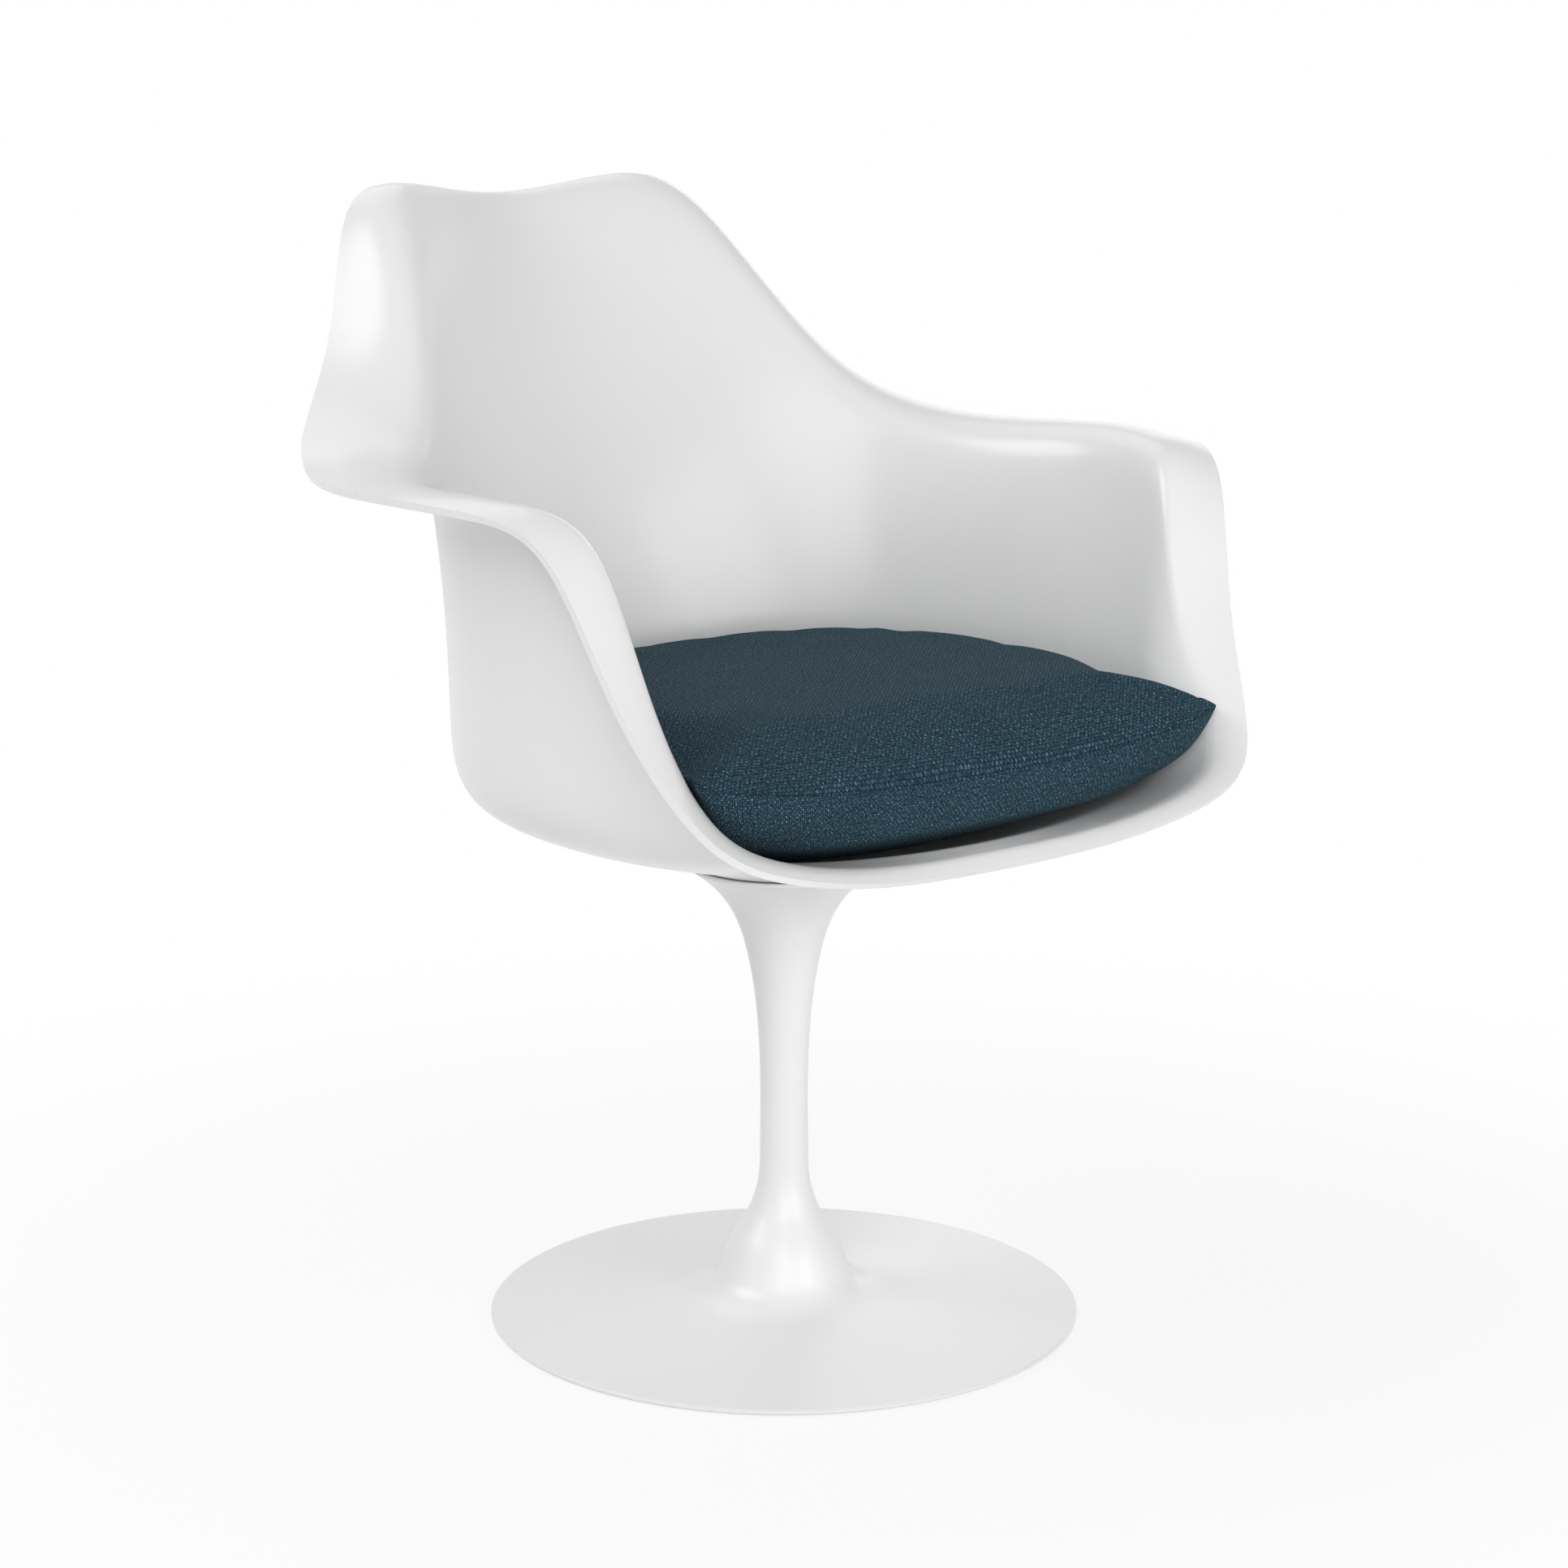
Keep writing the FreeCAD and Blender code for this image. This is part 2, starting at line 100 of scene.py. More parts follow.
def select_only(obj):
    """Makes one object the only selected and the active one."""
    bpy.ops.object.select_all(action="DESELECT")
    obj.select_set(True)
    bpy.context.view_layer.objects.active = obj


def apply_modifiers(obj):
    """Applies every modifier of an object in order."""
    select_only(obj)
    for modifier in list(obj.modifiers):
        bpy.ops.object.modifier_apply(modifier=modifier.name)


def copy_of_node(node, name):
    """A merged copy of a CAD node's mesh, as a new object."""
    obj = bpy.data.objects.new(name, NODES[node].data.copy())
    bpy.context.scene.collection.objects.link(obj)
    select_only(obj)
    bpy.ops.object.mode_set(mode="EDIT")
    bpy.ops.mesh.select_all(action="SELECT")
    bpy.ops.mesh.remove_doubles(threshold=0.00002)
    bpy.ops.object.mode_set(mode="OBJECT")
    return obj


# Material building

class Finish:
    """One node material, with short calls for the nodes that the finishes here need."""

    def __init__(self, name):
        self.material = bpy.data.materials.new(name)
        self.material.use_nodes = True
        self.tree = self.material.node_tree
        self.tree.nodes.clear()
        self.out = self.add("ShaderNodeOutputMaterial")
        self.shader = self.add("ShaderNodeBsdfPrincipled")
        self.join(self.shader.outputs[0], self.out.inputs["Surface"])

    def add(self, kind, **values):
        """A new node, with named socket values."""
        node = self.tree.nodes.new(kind)
        for key, value in values.items():
            node.inputs[key].default_value = value
        return node

    def join(self, source, target):
        """Links an output to an input."""
        self.tree.links.new(source, target)

    def set(self, **values):
        """Sets the shader's own sockets, with underscores for spaces."""
        for key, value in values.items():
            self.shader.inputs[key.replace("_", " ")].default_value = value

    def place(self, uv=None):
        """Object coordinates, or the piece's own UV map."""
        if uv:
            node = self.add("ShaderNodeUVMap")
            node.uv_map = uv
            return node.outputs["UV"]
        return self.add("ShaderNodeTexCoord").outputs["Object"]

    def noise(self, place, scale, detail=3.0, rough=0.5):
        """A noise value over a place."""
        node = self.add("ShaderNodeTexNoise", Scale=scale, Detail=detail, Roughness=rough)
        self.join(place, node.inputs["Vector"])
        return node.outputs["Fac"]

    def ramp(self, value, *stops):
        """A colour ramp with stops of (position, colour)."""
        node = self.add("ShaderNodeValToRGB")
        ramp = node.color_ramp
        while len(ramp.elements) < len(stops):
            ramp.elements.new(0.5)
        for element, (position, colour) in zip(ramp.elements, stops):
            element.position = position
            element.color = (*colour, 1.0)
        self.join(value, node.inputs["Fac"])
        return node.outputs["Color"]

    def math(self, kind, a, b=None):
        """A math node on values or links."""
        node = self.tree.nodes.new("ShaderNodeMath")
        node.operation = kind
        for socket, value in zip(node.inputs, (a, b)):
            if value is None:
                continue
            if isinstance(value, (int, float)):
                socket.default_value = value
            else:
                self.join(value, socket)
        return node.outputs[0]

    def mix(self, share, a, b):
        """A colour mixed from two links or colours."""
        node = self.tree.nodes.new("ShaderNodeMix")
        node.data_type = "RGBA"
        for socket, value in zip((node.inputs[0], node.inputs[6], node.inputs[7]), (share, a, b)):
            if isinstance(value, (int, float)):
                socket.default_value = value
            elif isinstance(value, tuple):
                socket.default_value = (*value, 1.0)
            else:
                self.join(value, socket)
        return node.outputs[2]

    def bump(self, height, strength, distance):
        """Feeds a height into the shader's normal."""
        node = self.add("ShaderNodeBump", Strength=strength, Distance=distance)
        self.join(height, node.inputs["Height"])
        self.join(node.outputs["Normal"], self.shader.inputs["Normal"])

    def colour(self, link):
        """Feeds a colour into the shader's base."""
        self.join(link, self.shader.inputs["Base Color"])

    def rough(self, link, low, high):
        """Feeds a value into the roughness, over a range."""
        node = self.add("ShaderNodeMapRange")
        node.inputs["To Min"].default_value = low
        node.inputs["To Max"].default_value = high
        self.join(link, node.inputs["Value"])
        self.join(node.outputs["Result"], self.shader.inputs["Roughness"])


def tinted(colour, factor):
    """A colour made darker or lighter."""
    return tuple(c * factor for c in colour)


def gloss_paint(name, colour, rough_low, rough_high):
    """Gloss white paint with a trace of orange peel and handling dulling."""
    finish = Finish(name)
    place = finish.place()
    broad = finish.noise(place, 3.5, 2.0)
    finish.colour(finish.ramp(broad, (0.3, tinted(colour, 0.985)), (0.7, tinted(colour, 1.01))))
    finish.rough(finish.noise(place, 22.0, 3.0), rough_low, rough_high)
    finish.bump(finish.noise(place, 190.0, 1.0), 0.03, 0.0003)
    finish.set(IOR=1.5)
    return finish.material


def metal(name, colour, roughness, brushed=400.0):
    """Turned or drawn metal with fine marks."""
    finish = Finish(name)
    place = finish.place()
    marks = finish.noise(place, brushed, 4.0)
    finish.colour(finish.ramp(marks, (0.25, tinted(colour, 0.82)), (0.75, colour)))
    finish.rough(marks, roughness * 0.8, roughness * 1.25)
    finish.bump(marks, 0.12, 0.0002)
    finish.set(Metallic=1.0)
    return finish.material


def dull(name, colour, scale, roughness, depth):
    """Rubber, polymer, foam or cast skin: broken colour with a fine grain."""
    finish = Finish(name)
    place = finish.place()
    grain = finish.noise(place, scale, 4.0, 0.6)
    finish.colour(finish.ramp(grain, (0.3, tinted(colour, 0.72)), (0.7, colour)))
    finish.rough(grain, roughness * 0.9, min(1.0, roughness * 1.1))
    finish.bump(grain, 0.4, depth)
    return finish.material


def weave(name, uv="weave"):
    """Coarse basket weave: light and dark teal threads over and under, on the cloth's own UV in metres, with
    painted shade in the gaps between threads and along the upper seam.
    """
    finish = Finish(name)
    place = finish.place(uv)
    split = finish.add("ShaderNodeSeparateXYZ")
    finish.join(place, split.inputs[0])
    pitch = 1.0 / WEAVE_PITCH
    wobble = finish.noise(place, 90.0, 2.0)
    sway = finish.math("MULTIPLY", finish.math("SUBTRACT", wobble, 0.5), 0.7)
    u = finish.math("ADD", finish.math("MULTIPLY", split.outputs["X"], pitch), sway)
    v = finish.math("ADD", finish.math("MULTIPLY", split.outputs["Y"], pitch), sway)
    cell = finish.math("ADD", finish.math("FLOOR", u), finish.math("FLOOR", v))
    over = finish.math("MODULO", finish.math("ABSOLUTE", cell), 2.0)
    across_u = finish.math("PINGPONG", u, 0.5)
    across_v = finish.math("PINGPONG", v, 0.5)
    round_u = finish.math("SINE", finish.math("MULTIPLY", across_u, math.pi))
    round_v = finish.math("SINE", finish.math("MULTIPLY", across_v, math.pi))
    warp = finish.math("MULTIPLY", round_u, finish.math("POWER", finish.math("ADD", round_v, 0.02), 0.35))
    weft = finish.math("MULTIPLY", round_v, finish.math("POWER", finish.math("ADD", round_u, 0.02), 0.35))
    height_mix = finish.tree.nodes.new("ShaderNodeMix")
    finish.join(over, height_mix.inputs[0])
    finish.join(warp, height_mix.inputs[2])
    finish.join(weft, height_mix.inputs[3])
    height = height_mix.outputs[0]
    fleck = finish.noise(place, 520.0, 2.0)
    broad = finish.noise(place, 26.0, 3.0)
    lively = finish.math("ADD", finish.math("MULTIPLY", fleck, 0.92), finish.math("MULTIPLY", broad, 0.08))
    threads = finish.ramp(lively, (0.34, THREAD_DARK), (0.5, THREAD_MID), (0.68, THREAD_LIGHT))
    second = finish.ramp(lively, (0.36, THREAD_DARK), (0.62, THREAD_MID))
    cloth = finish.mix(over, threads, second)
    # Painted shade: where the weave's height is low, between the threads, the cloth takes the near black gap shade
    cloth_with_gap_shade = finish.mix(finish.ramp(height, (0.12, (0, 0, 0)), (0.55, (1, 1, 1))), GAP_PAINTED_SHADE, cloth)
    # Painted shade: the cloth is darkened towards the gap shade along the upper seam, where the seam mask is 1
    stitched = finish.tree.nodes.new("ShaderNodeAttribute")
    stitched.attribute_name = "seam"
    painted_seam_shade = finish.math("MULTIPLY", finish.math("POWER", stitched.outputs["Fac"], 4.0), 0.4)
    finish.colour(finish.mix(painted_seam_shade, cloth_with_gap_shade, GAP_PAINTED_SHADE))
    finish.bump(height, 0.75, 0.0006)
    finish.set(Roughness=0.9, Sheen_Weight=0.02, Sheen_Roughness=0.5)
    finish.shader.inputs["Specular IOR Level"].default_value = 0.1
    return finish.material


def zip_cloth(name):
    """Dark herringbone zip tape."""
    finish = Finish(name)
    place = finish.place()
    wave = finish.add("ShaderNodeTexWave", Scale=700.0, Distortion=0.4)
    finish.join(place, wave.inputs["Vector"])
    finish.colour(finish.ramp(wave.outputs["Fac"], (0.2, tinted(THREAD_DARK, 0.6)), (0.8, THREAD_DARK)))
    finish.bump(wave.outputs["Fac"], 0.5, 0.0003)
    finish.set(Roughness=0.9)
    return finish.material


# Seat cushion

def sharp_loops(node):
    """The closed lines of sharp edges of a CAD node, each as ordered points."""
    guide = copy_of_node(node, "seam_guide")
    mesh = bmesh.new()
    mesh.from_mesh(guide.data)
    bpy.data.objects.remove(guide)
    sharp = {edge for edge in mesh.edges if len(edge.link_faces) == 2 and edge.calc_face_angle() > SEAM_ANGLE}
    loops = []
    while sharp:
        edge = sharp.pop()
        line = list(edge.verts)
        while True:
            following = [e for e in line[-1].link_edges if e in sharp]
            if not following:
                break
            sharp.discard(following[0])
            line.append(following[0].other_vert(line[-1]))
        if line[0] is line[-1]:
            loops.append([v.co.copy() for v in line[:-1]])
    mesh.free()
    return loops


def from_front(line):
    """A closed line of points, turned to start at the middle of the front and run towards +X."""
    start = min(range(len(line)), key=lambda i: abs(line[i].x) + (10.0 if line[i].y > 0 else 0.0))
    line = line[start:] + line[:start]
    if line[len(line) // 4].x < 0:
        line = line[:1] + line[:0:-1]
    return line


def evenly(line, count):
    """Evenly spaced points along a closed line."""
    closed = line + line[:1]
    lengths = [0.0]
    for a, b in zip(closed, closed[1:]):
        lengths.append(lengths[-1] + (b - a).length)
    points = []
    i = 0
    for k in range(count):
        target = lengths[-1] * k / count
        while lengths[i + 1] < target:
            i += 1
        share = (target - lengths[i]) / (lengths[i + 1] - lengths[i])
        points.append(closed[i].lerp(closed[i + 1], share))
    return points


def seams():
    """The upper and the lower seam of the boxing, as closed lines of points."""
    loops = [from_front(line) for line in sharp_loops("cover_boxing") if len(line) > 20]
    girth = {id(line): sum((b - a).length for a, b in zip(line, line[1:])) for line in loops}
    mean_z = {id(line): sum(p.z for p in line) / len(line) for line in loops}
    middle = sum(mean_z.values()) / len(loops)
    high = max((line for line in loops if mean_z[id(line)] > middle), key=lambda line: girth[id(line)])
    low = max((line for line in loops if mean_z[id(line)] < middle), key=lambda line: girth[id(line)])
    return evenly(high, LOOP_COUNT), evenly(low, 4 * LOOP_COUNT)


def bearing_of(place):
    """The direction of a place from the middle of the cushion."""
    return math.atan2(place.y - CUSHION_CENTRE_Y, place.x)


def matched(line, targets):
    """For each target, the point of a line that lies in the same direction from the cushion's middle."""
    return [min(line, key=lambda p: abs(math.remainder(bearing_of(p) - bearing_of(t), math.tau))) for t in targets]


def smooth_loop(points, rounds=2):
    """Evens out a closed line of points."""
    for _ in range(rounds):
        n = len(points)
        points = [(points[i - 1] + points[i] * 2 + points[(i + 1) % n]) / 4 for i in range(n)]
    return points


def ear_shift(place):
    """How far the seam's front corners stick out as small ears."""
    away = (Vector((abs(place.x), place.y)) - Vector(EAR_PLACE)).length
    share = math.exp(-(away / EAR_WIDTH) ** 2)
    return Vector((math.copysign(0.9, place.x), -0.35, 0.25)) * (EAR_OUT * share)


def boxing_rings(high, low):
    """Rings of points down the band, on the frame's boxing, with a groove under the upper seam."""
    guide = copy_of_node("cover_boxing", "boxing_guide")
    tree = BVHTree.FromObject(guide, bpy.context.evaluated_depsgraph_get())
    rings = []
    for share in BOXING_SHARES:
        ring = []
        for a, b in zip(high, low):
            place = a.lerp(b, share)
            out = Vector((place.x, place.y - CUSHION_CENTRE_Y, 0)).normalized()
            hit = tree.ray_cast(place + out * 0.06, -out)[0]
            if hit and share > 0.01:
                place = Vector((hit.x, hit.y, place.z))
            ring.append(place)
        rings.append(smooth_loop(ring))
    bpy.data.objects.remove(guide)
    return rings


def select_ring(obj, mesh, first):
    """Selects one ring of the cage by the number of its first vertex."""
    bpy.ops.mesh.select_all(action="DESELECT")
    mesh.verts.ensure_lookup_table()
    for vertex in mesh.verts[first:first + LOOP_COUNT]:
        vertex.select = True
    mesh.select_flush(True)
    bmesh.update_edit_mesh(obj.data)


def cover_cage():
    """The cover as one closed cage: a grid-filled top, a boxing band and a grid-filled bottom."""
    high, low_line = seams()
    low = smooth_loop(matched(low_line, high))
    shoulder = []
    for place in high:
        inward = (Vector((0, CUSHION_CENTRE_Y, place.z)) - place).normalized()
        shoulder.append(place + inward * SHOULDER_IN + Vector((0, 0, SHOULDER_UP)))
    rings = [shoulder] + boxing_rings(high, low)
    rings[1] = [p + ear_shift(p) for p in rings[1]]
    bpy.ops.object.select_all(action="DESELECT")
    bpy.ops.mesh.primitive_circle_add(vertices=LOOP_COUNT, radius=0.2, fill_type="NOTHING")
    obj = bpy.context.active_object
    obj.name = "seat_cushion_cover"
    bpy.ops.object.mode_set(mode="EDIT")
    for step in range(1, len(rings)):
        mesh = bmesh.from_edit_mesh(obj.data)
        select_ring(obj, mesh, (step - 1) * LOOP_COUNT)
        bpy.ops.mesh.extrude_edges_move()
    mesh = bmesh.from_edit_mesh(obj.data)
    mesh.verts.ensure_lookup_table()
    for step, ring in enumerate(rings):
        for i, place in enumerate(ring):
            mesh.verts[step * LOOP_COUNT + i].co = place
    for first in (0, (len(rings) - 1) * LOOP_COUNT):
        mesh = bmesh.from_edit_mesh(obj.data)
        select_ring(obj, mesh, first)
        bpy.ops.mesh.fill_grid(span=LOOP_COUNT // 4, offset=LOOP_COUNT // 8)
    bpy.ops.mesh.select_all(action="SELECT")
    bpy.ops.mesh.normals_make_consistent(inside=False)
    bpy.ops.object.mode_set(mode="OBJECT")
    return obj, len(rings)


def crowned(place, seam):
    """How high the filled top stands at a place: steep at the seam, flat in the middle."""
    nearest = seam.find(Vector((place.x, place.y, 0.447)))[0]
    away = math.hypot(place.x - nearest.x, place.y - nearest.y)
    share = min(1.0, away / CROWN_REACH)
    return nearest.z + (CROWN_HEIGHT - nearest.z) * (1.0 - (1.0 - share) ** CROWN_FULLNESS)


def as_far_as_clear(place, push, shell):
    """A place moved along a push in small steps, until the shell comes too near."""
    kept = place
    for step in range(1, PUSH_STEPS + 1):
        trial = place + push * (step / PUSH_STEPS)
        hit, normal, _, distance = shell.find_nearest(trial)
        if (trial - hit).dot(normal) <= 0 or distance < SHELL_GAP:
            break
        kept = trial
    return kept


def corner_share(place):
    """1 beside the cushion's front corners and 0 far from them."""
    beside = (abs(place.x) - CORNER_PLACE[0]) / CORNER_SPREAD[0]
    along = (place.y - CORNER_PLACE[1]) / CORNER_SPREAD[1]
    return math.exp(-beside ** 2 - along ** 2)


def fill_corners(obj, ring_count):
    """Pushes the front corners out towards the shell and lets the band drop straight before it rounds under."""
    guide = copy_of_node("seat_shell", "shell_guide")
    shell = BVHTree.FromObject(guide, bpy.context.evaluated_depsgraph_get())
    vertices = obj.data.vertices
    for vertex in vertices:
        place = vertex.co.copy()
        height = max(0.0, min(1.0, (place.z - 0.39) / 0.03))
        push = Vector((math.copysign(1.0, place.x), -0.1, 0.18)) * CORNER_OUT
        vertex.co = as_far_as_clear(place, push * (height * corner_share(place)), shell)
    for number in range(2 * LOOP_COUNT, ring_count * LOOP_COUNT):
        high = vertices[LOOP_COUNT + number % LOOP_COUNT].co
        low = vertices[(ring_count - 1) * LOOP_COUNT + number % LOOP_COUNT].co
        place = vertices[number].co.copy()
        down = max(0.0, min(1.0, (high.z - place.z) / (high.z - low.z)))
        goal = high.lerp(low, down ** BAND_DROP)
        push = Vector((goal.x - place.x, goal.y - place.y, 0)) * min(1.0, 1.6 * corner_share(high))
        vertices[number].co = as_far_as_clear(place, push, shell)
    for first in range(0, ring_count * LOOP_COUNT, LOOP_COUNT):
        ring = smooth_loop([v.co.copy() for v in vertices[first:first + LOOP_COUNT]], 3)
        for vertex, goal in zip(vertices[first:first + LOOP_COUNT], ring):
            start = vertex.co.copy()
            vertex.co = as_far_as_clear(start, goal - start, shell)
    bpy.data.objects.remove(guide)


def rest_on_panels(obj, ring_count):
    """Lifts the grid-filled top and bottom on to the crowned panels of the frame."""
    guides = [copy_of_node("cover_top_panel", "top_guide"), copy_of_node("cover_bottom_panel", "bottom_guide")]
    graph = bpy.context.evaluated_depsgraph_get()
    top, bottom = [BVHTree.FromObject(guide, graph) for guide in guides]
    split = sum(v.co.z for v in obj.data.vertices[:LOOP_COUNT]) / LOOP_COUNT - 0.015
    seam = KDTree(LOOP_COUNT)
    for i in range(LOOP_COUNT):
        seam.insert(obj.data.vertices[LOOP_COUNT + i].co, i)
    seam.balance()
    for vertex in obj.data.vertices[LOOP_COUNT * ring_count:]:
        x, y, z = vertex.co
        if z > split:
            hit = top.ray_cast(Vector((x, y, 1.0)), Vector((0, 0, -1)))[0]
        else:
            hit = bottom.ray_cast(Vector((x, y, 0.0)), Vector((0, 0, 1)))[0]
        if hit:
            vertex.co.z = max(hit.z, crowned(vertex.co, seam)) if z > split else hit.z
    for vertex in obj.data.vertices[:LOOP_COUNT]:
        vertex.co.z = max(vertex.co.z, crowned(vertex.co, seam))
    for guide in guides:
        bpy.data.objects.remove(guide)


def inflate(obj):
    """Blows the cover up a little as cloth, with its two seams held."""
    start = [v.co.copy() for v in obj.data.vertices]
    held = obj.vertex_groups.new(name="held")
    held.add(list(range(LOOP_COUNT, 2 * LOOP_COUNT)), 1.0, "REPLACE")
    last = LOOP_COUNT * len(BOXING_SHARES)
    held.add(list(range(last, last + LOOP_COUNT)), 1.0, "REPLACE")
    cloth = obj.modifiers.new("cloth", "CLOTH")
    cloth.settings.vertex_group_mass = "held"
    cloth.settings.use_pressure = True
    cloth.settings.uniform_pressure_force = CLOTH_PRESSURE
    cloth.settings.effector_weights.gravity = 0.0
    cloth.settings.quality = 6
    scene = bpy.context.scene
    for number in range(1, CLOTH_FRAMES + 1):
        scene.frame_set(number)
    apply_modifiers(obj)
    scene.frame_set(1)
    for vertex, place in zip(obj.data.vertices, start):
        shift = vertex.co - place
        limit = CLOTH_CAP
        if shift.length > limit:
            vertex.co = place + shift * (limit / shift.length)


def lay_weave(obj, ring_count):
    """UV in metres: flat over the top and bottom, girth by height on the band."""
    layer = obj.data.uv_layers.new(name="weave")
    # The seam mask, 1 on the upper seam's ring, which places the painted shade along the seam
    seam = obj.data.attributes.new("seam", "FLOAT", "POINT")
    for i in range(LOOP_COUNT, 2 * LOOP_COUNT):
        seam.data[i].value = 1.0
    girth = [0.0]
    ring = [obj.data.vertices[LOOP_COUNT + i].co for i in range(LOOP_COUNT)]
    for a, b in zip(ring, ring[1:] + ring[:1]):
        girth.append(girth[-1] + (b - a).length)
    for poly in obj.data.polygons:
        numbers = [obj.data.loops[i].vertex_index for i in poly.loop_indices]
        on_band = all(LOOP_COUNT <= n < LOOP_COUNT * ring_count for n in numbers)
        columns = [n % LOOP_COUNT for n in numbers]
        wraps = on_band and max(columns) - min(columns) > 1
        for i, n in zip(poly.loop_indices, numbers):
            place = obj.data.vertices[n].co
            if on_band:
                column = n % LOOP_COUNT
                along = girth[LOOP_COUNT] if wraps and column == 0 else girth[column]
                layer.data[i].uv = (along, place.z)
            else:
                layer.data[i].uv = (place.x, place.y)


def build_cushion():
    """The finished cushion cover."""
    obj, ring_count = cover_cage()
    fill_corners(obj, ring_count)
    rest_on_panels(obj, ring_count)
    inflate(obj)
    lay_weave(obj, ring_count)
    creases = obj.data.attributes.new("crease_edge", "FLOAT", "EDGE")
    for edge in obj.data.edges:
        if all(LOOP_COUNT <= n < 2 * LOOP_COUNT for n in edge.vertices):
            creases.data[edge.index].value = SEAM_CREASE
    smooth = obj.modifiers.new("smooth", "SUBSURF")
    smooth.levels = 1
    smooth.render_levels = 1
    apply_modifiers(obj)
    bpy.ops.object.shade_smooth()
    return obj


cushion = build_cushion()

shell_gloss = gloss_paint("shell_gloss_white", GLOSS_WHITE, 0.22, 0.28)
pedestal_gloss = gloss_paint("pedestal_satin_white", PEDESTAL_WHITE, 0.26, 0.32)
cushion_weave = weave("teal_basket_weave")
FINISHES = {
    "pedestal_base": pedestal_gloss,
    "seat_shell": shell_gloss,
    "glide_ring": dull("glide_rubber_black", (0.02, 0.02, 0.02), 500.0, 0.7, 0.0002),
    "swivel_plate": dull("plate_cast_black", (0.03, 0.03, 0.032), 300.0, 0.5, 0.0004),
    "cushion_foam": dull("foam_open_cell", FOAM_YELLOW, 700.0, 0.95, 0.0008),
    "roller_cage": dull("cage_polymer_black", (0.03, 0.03, 0.03), 600.0, 0.55, 0.0001),
    "zip_tape": zip_cloth("zip_tape_dark"),
}
bright_steel = metal("bearing_ground_steel", (0.60, 0.60, 0.61), 0.22)
bronze = metal("bush_sintered_bronze", (0.62, 0.42, 0.22), 0.38)
pad_black = dull("pad_hook_loop_black", (0.015, 0.015, 0.016), 900.0, 0.95, 0.0008)
for node in ("lower_race", "upper_race", "bearing_rollers", "spindle", "retaining_washer",
             "retaining_ring", "mounting_screws"):
    FINISHES[node] = bright_steel
for node in ("lower_bush", "upper_bush"):
    FINISHES[node] = bronze
for node in ("hook_pads", "loop_pads"):
    FINISHES[node] = pad_black
FINISHES["zip_slider"] = metal("zip_slider_brass", (0.50, 0.38, 0.20), 0.3)

for node, material in FINISHES.items():
    NODES[node].data.materials.clear()
    NODES[node].data.materials.append(material)
cushion.data.materials.append(cushion_weave)
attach(cushion, "cushion")
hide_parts("cushion_foam", "cover_top_panel", "cover_boxing", "cover_bottom_panel")


# Surroundings

def eye_rays(tree):
    """1 for what the camera sees directly, in a reflection or through glass, and 0 for other light."""
    path = tree.nodes.new("ShaderNodeLightPath")
    mirrored = tree.nodes.new("ShaderNodeMath")
    mirrored.operation = "MAXIMUM"
    tree.links.new(path.outputs["Is Glossy Ray"], mirrored.inputs[0])
    tree.links.new(path.outputs["Is Transmission Ray"], mirrored.inputs[1])
    seen = tree.nodes.new("ShaderNodeMath")
    seen.operation = "MAXIMUM"
    tree.links.new(path.outputs["Is Camera Ray"], seen.inputs[0])
    tree.links.new(mirrored.outputs[0], seen.inputs[1])
    return seen.outputs[0]


def white_with_distance(tree):
    """How far the floor's own white shows: part of it under the chair, all of it farther out."""
    place = tree.nodes.new("ShaderNodeTexCoord")
    away = tree.nodes.new("ShaderNodeVectorMath")
    away.operation = "LENGTH"
    tree.links.new(place.outputs["Object"], away.inputs[0])
    share = tree.nodes.new("ShaderNodeMapRange")
    share.interpolation_type = "SMOOTHSTEP"
    share.inputs["From Min"].default_value = SHADOW_REACH[0]
    share.inputs["From Max"].default_value = SHADOW_REACH[1]
    share.inputs["To Min"].default_value = FLOOR_GLOW_NEAR
    share.inputs["To Max"].default_value = FLOOR_GLOW_FAR
    tree.links.new(away.outputs["Value"], share.inputs["Value"])
    return share.outputs["Result"]


def add_floor():
    """A wide white floor that keeps the chair's shadow."""
    bpy.ops.object.select_all(action="DESELECT")
    bpy.ops.mesh.primitive_plane_add(size=2 * FLOOR_HALF)
    floor = bpy.context.active_object
    floor.name = "studio_floor"
    material = bpy.data.materials.new("studio_floor_white")
    material.use_nodes = True
    tree = material.node_tree
    tree.nodes.clear()
    out = tree.nodes.new("ShaderNodeOutputMaterial")
    diffuse = tree.nodes.new("ShaderNodeBsdfDiffuse")
    diffuse.inputs["Color"].default_value = (0.86, 0.86, 0.86, 1)
    glow = tree.nodes.new("ShaderNodeEmission")
    glow.inputs["Color"].default_value = WHITE
    share = tree.nodes.new("ShaderNodeMath")
    share.operation = "MULTIPLY"
    tree.links.new(eye_rays(tree), share.inputs[0])
    tree.links.new(white_with_distance(tree), share.inputs[1])
    mix = tree.nodes.new("ShaderNodeMixShader")
    tree.links.new(share.outputs[0], mix.inputs[0])
    tree.links.new(diffuse.outputs[0], mix.inputs[1])
    tree.links.new(glow.outputs[0], mix.inputs[2])
    tree.links.new(mix.outputs[0], out.inputs["Surface"])
    floor.data.materials.append(material)


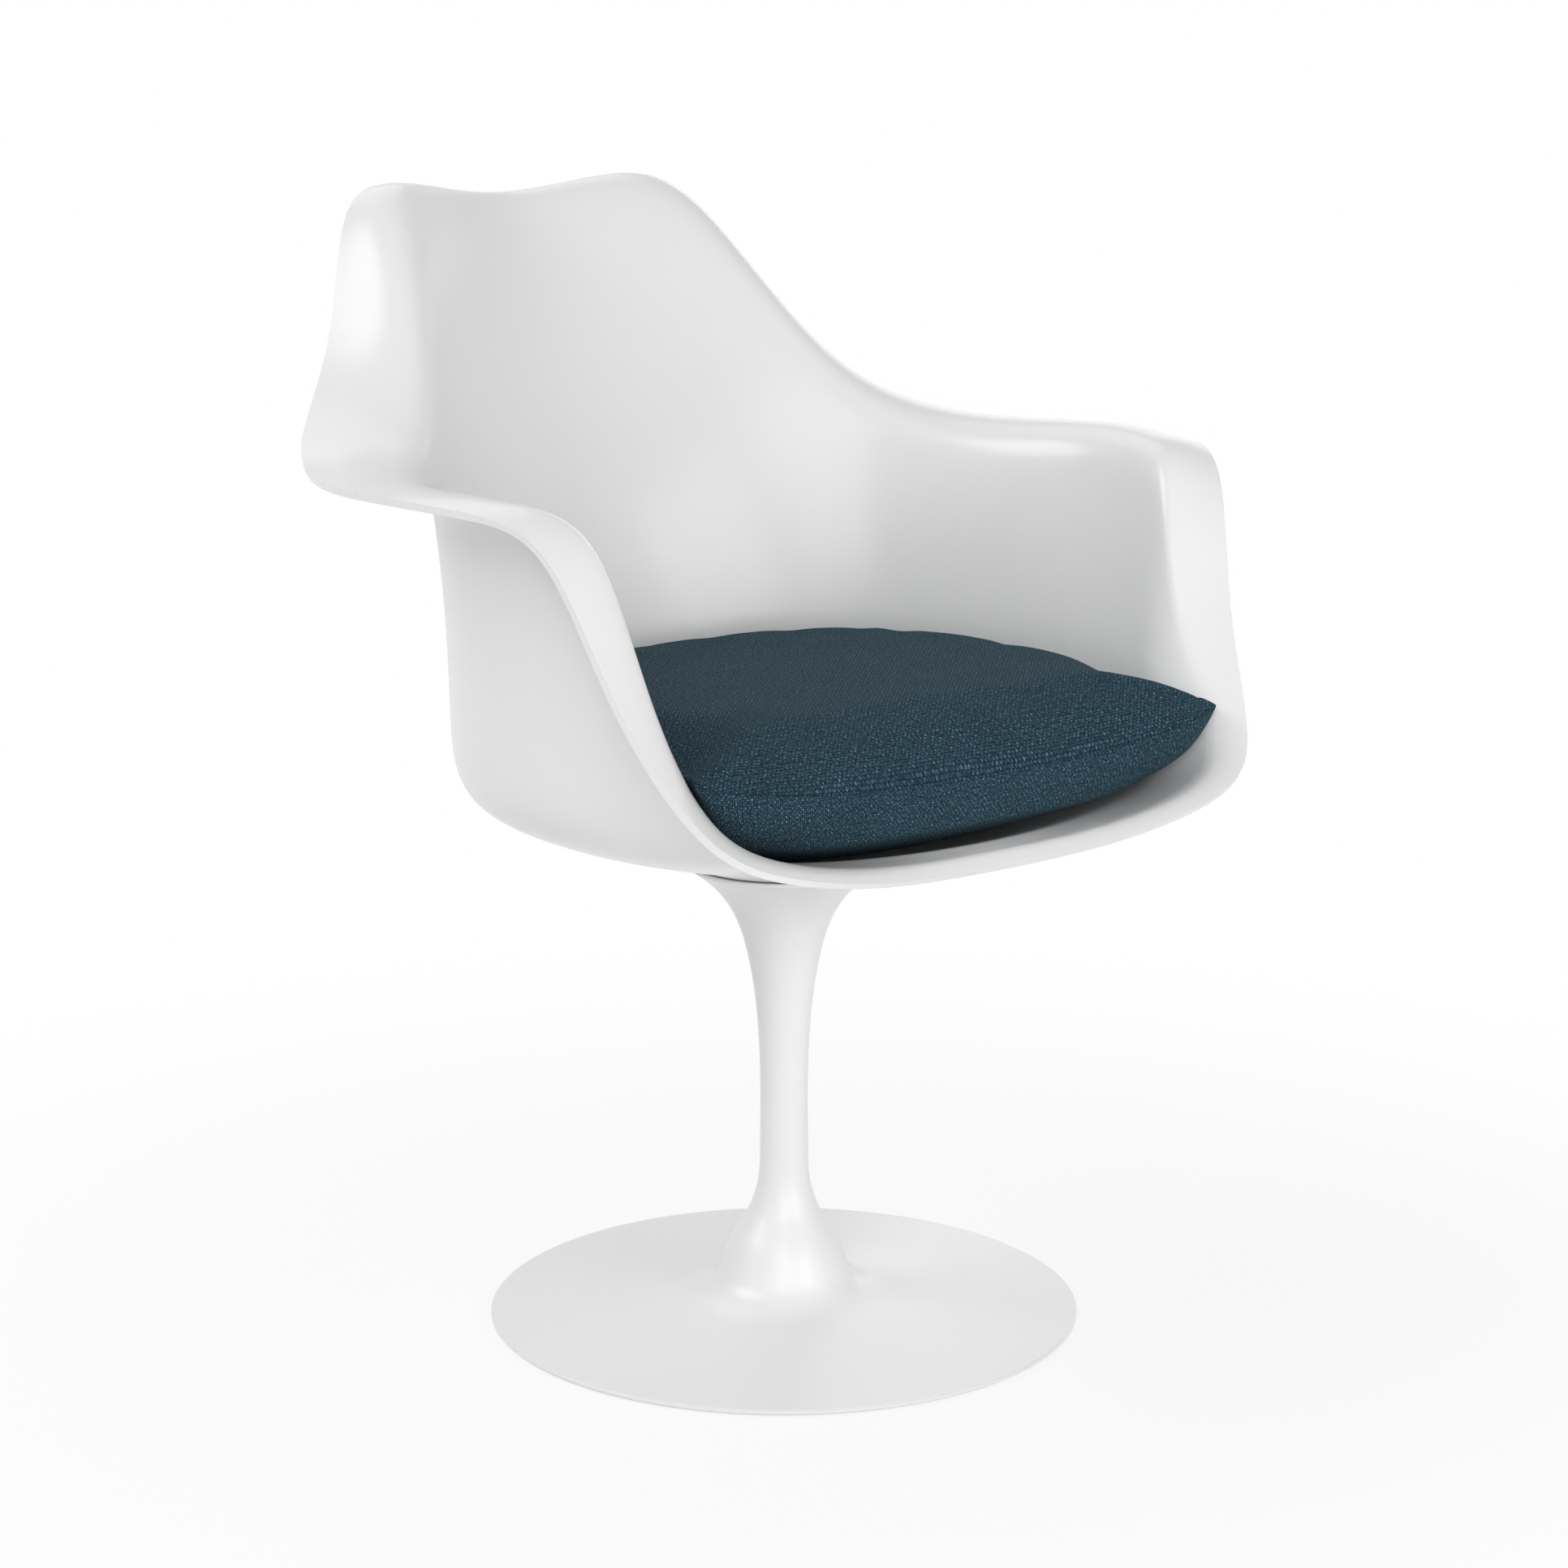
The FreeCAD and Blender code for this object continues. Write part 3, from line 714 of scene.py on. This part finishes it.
def light_world():
    """White to the camera and in reflections, a plain soft level on the chair."""
    world = bpy.data.worlds.new("studio")
    bpy.context.scene.world = world
    world.use_nodes = True
    tree = world.node_tree
    tree.nodes.clear()
    out = tree.nodes.new("ShaderNodeOutputWorld")
    seen_white = tree.nodes.new("ShaderNodeBackground")
    seen_white.inputs["Color"].default_value = WHITE
    soft = tree.nodes.new("ShaderNodeBackground")
    soft.inputs["Color"].default_value = WHITE
    soft.inputs["Strength"].default_value = AMBIENT
    mix = tree.nodes.new("ShaderNodeMixShader")
    tree.links.new(eye_rays(tree), mix.inputs[0])
    tree.links.new(soft.outputs[0], mix.inputs[1])
    tree.links.new(seen_white.outputs[0], mix.inputs[2])
    tree.links.new(mix.outputs[0], out.inputs["Surface"])


def area_light(name, place, target, size, power):
    """A softbox that faces a point."""
    data = bpy.data.lights.new(name, "AREA")
    data.shape = "RECTANGLE"
    data.size, data.size_y = size
    data.energy = power
    lamp = bpy.data.objects.new(name, data)
    bpy.context.scene.collection.objects.link(lamp)
    lamp.location = place
    lamp.visible_camera = False
    lamp.rotation_euler = (Vector(target) - Vector(place)).to_track_quat("-Z", "Y").to_euler()
    return lamp


def add_camera():
    """The photograph's camera."""
    data = bpy.data.cameras.new("photo_camera")
    data.sensor_width = SENSOR_MM
    data.lens = FOCAL_PX / IMAGE_SIZE * SENSOR_MM
    camera = bpy.data.objects.new("photo_camera", data)
    bpy.context.scene.collection.objects.link(camera)
    camera.location = (
        CAMERA_DISTANCE * math.sin(CAMERA_TURN),
        -CAMERA_DISTANCE * math.cos(CAMERA_TURN),
        CAMERA_HEIGHT,
    )
    camera.rotation_euler = (math.pi / 2 - CAMERA_PITCH, 0, CAMERA_TURN)
    bpy.context.scene.camera = camera


add_floor()
light_world()
area_light("front", (0.104, -2.969, 0.95), (0, 0, 0.45), (1.8, 1.8), 31)
area_light("front_far", (1.387, -2.609, 0.97), (0, 0, 0.45), (1.8, 1.8), 9)
area_light("beside_camera", (-1.784, -2.283, 1.23), (0, 0, 0.45), (1.8, 1.8), 25)
area_light("high_behind_near", (-2.029, 1.079, 2.38), (0, 0, 0.45), (1.8, 1.8), 37)
area_light("low_behind_far", (2.488, 1.555, 1.07), (0, 0, 0.45), (1.8, 1.8), 8.6)
area_light("high_behind", (0.549, 2.049, 2.57), (0, 0, 0.45), (1.8, 1.8), 7.8)
add_camera()
bpy.context.scene.view_settings.view_transform = "Standard"
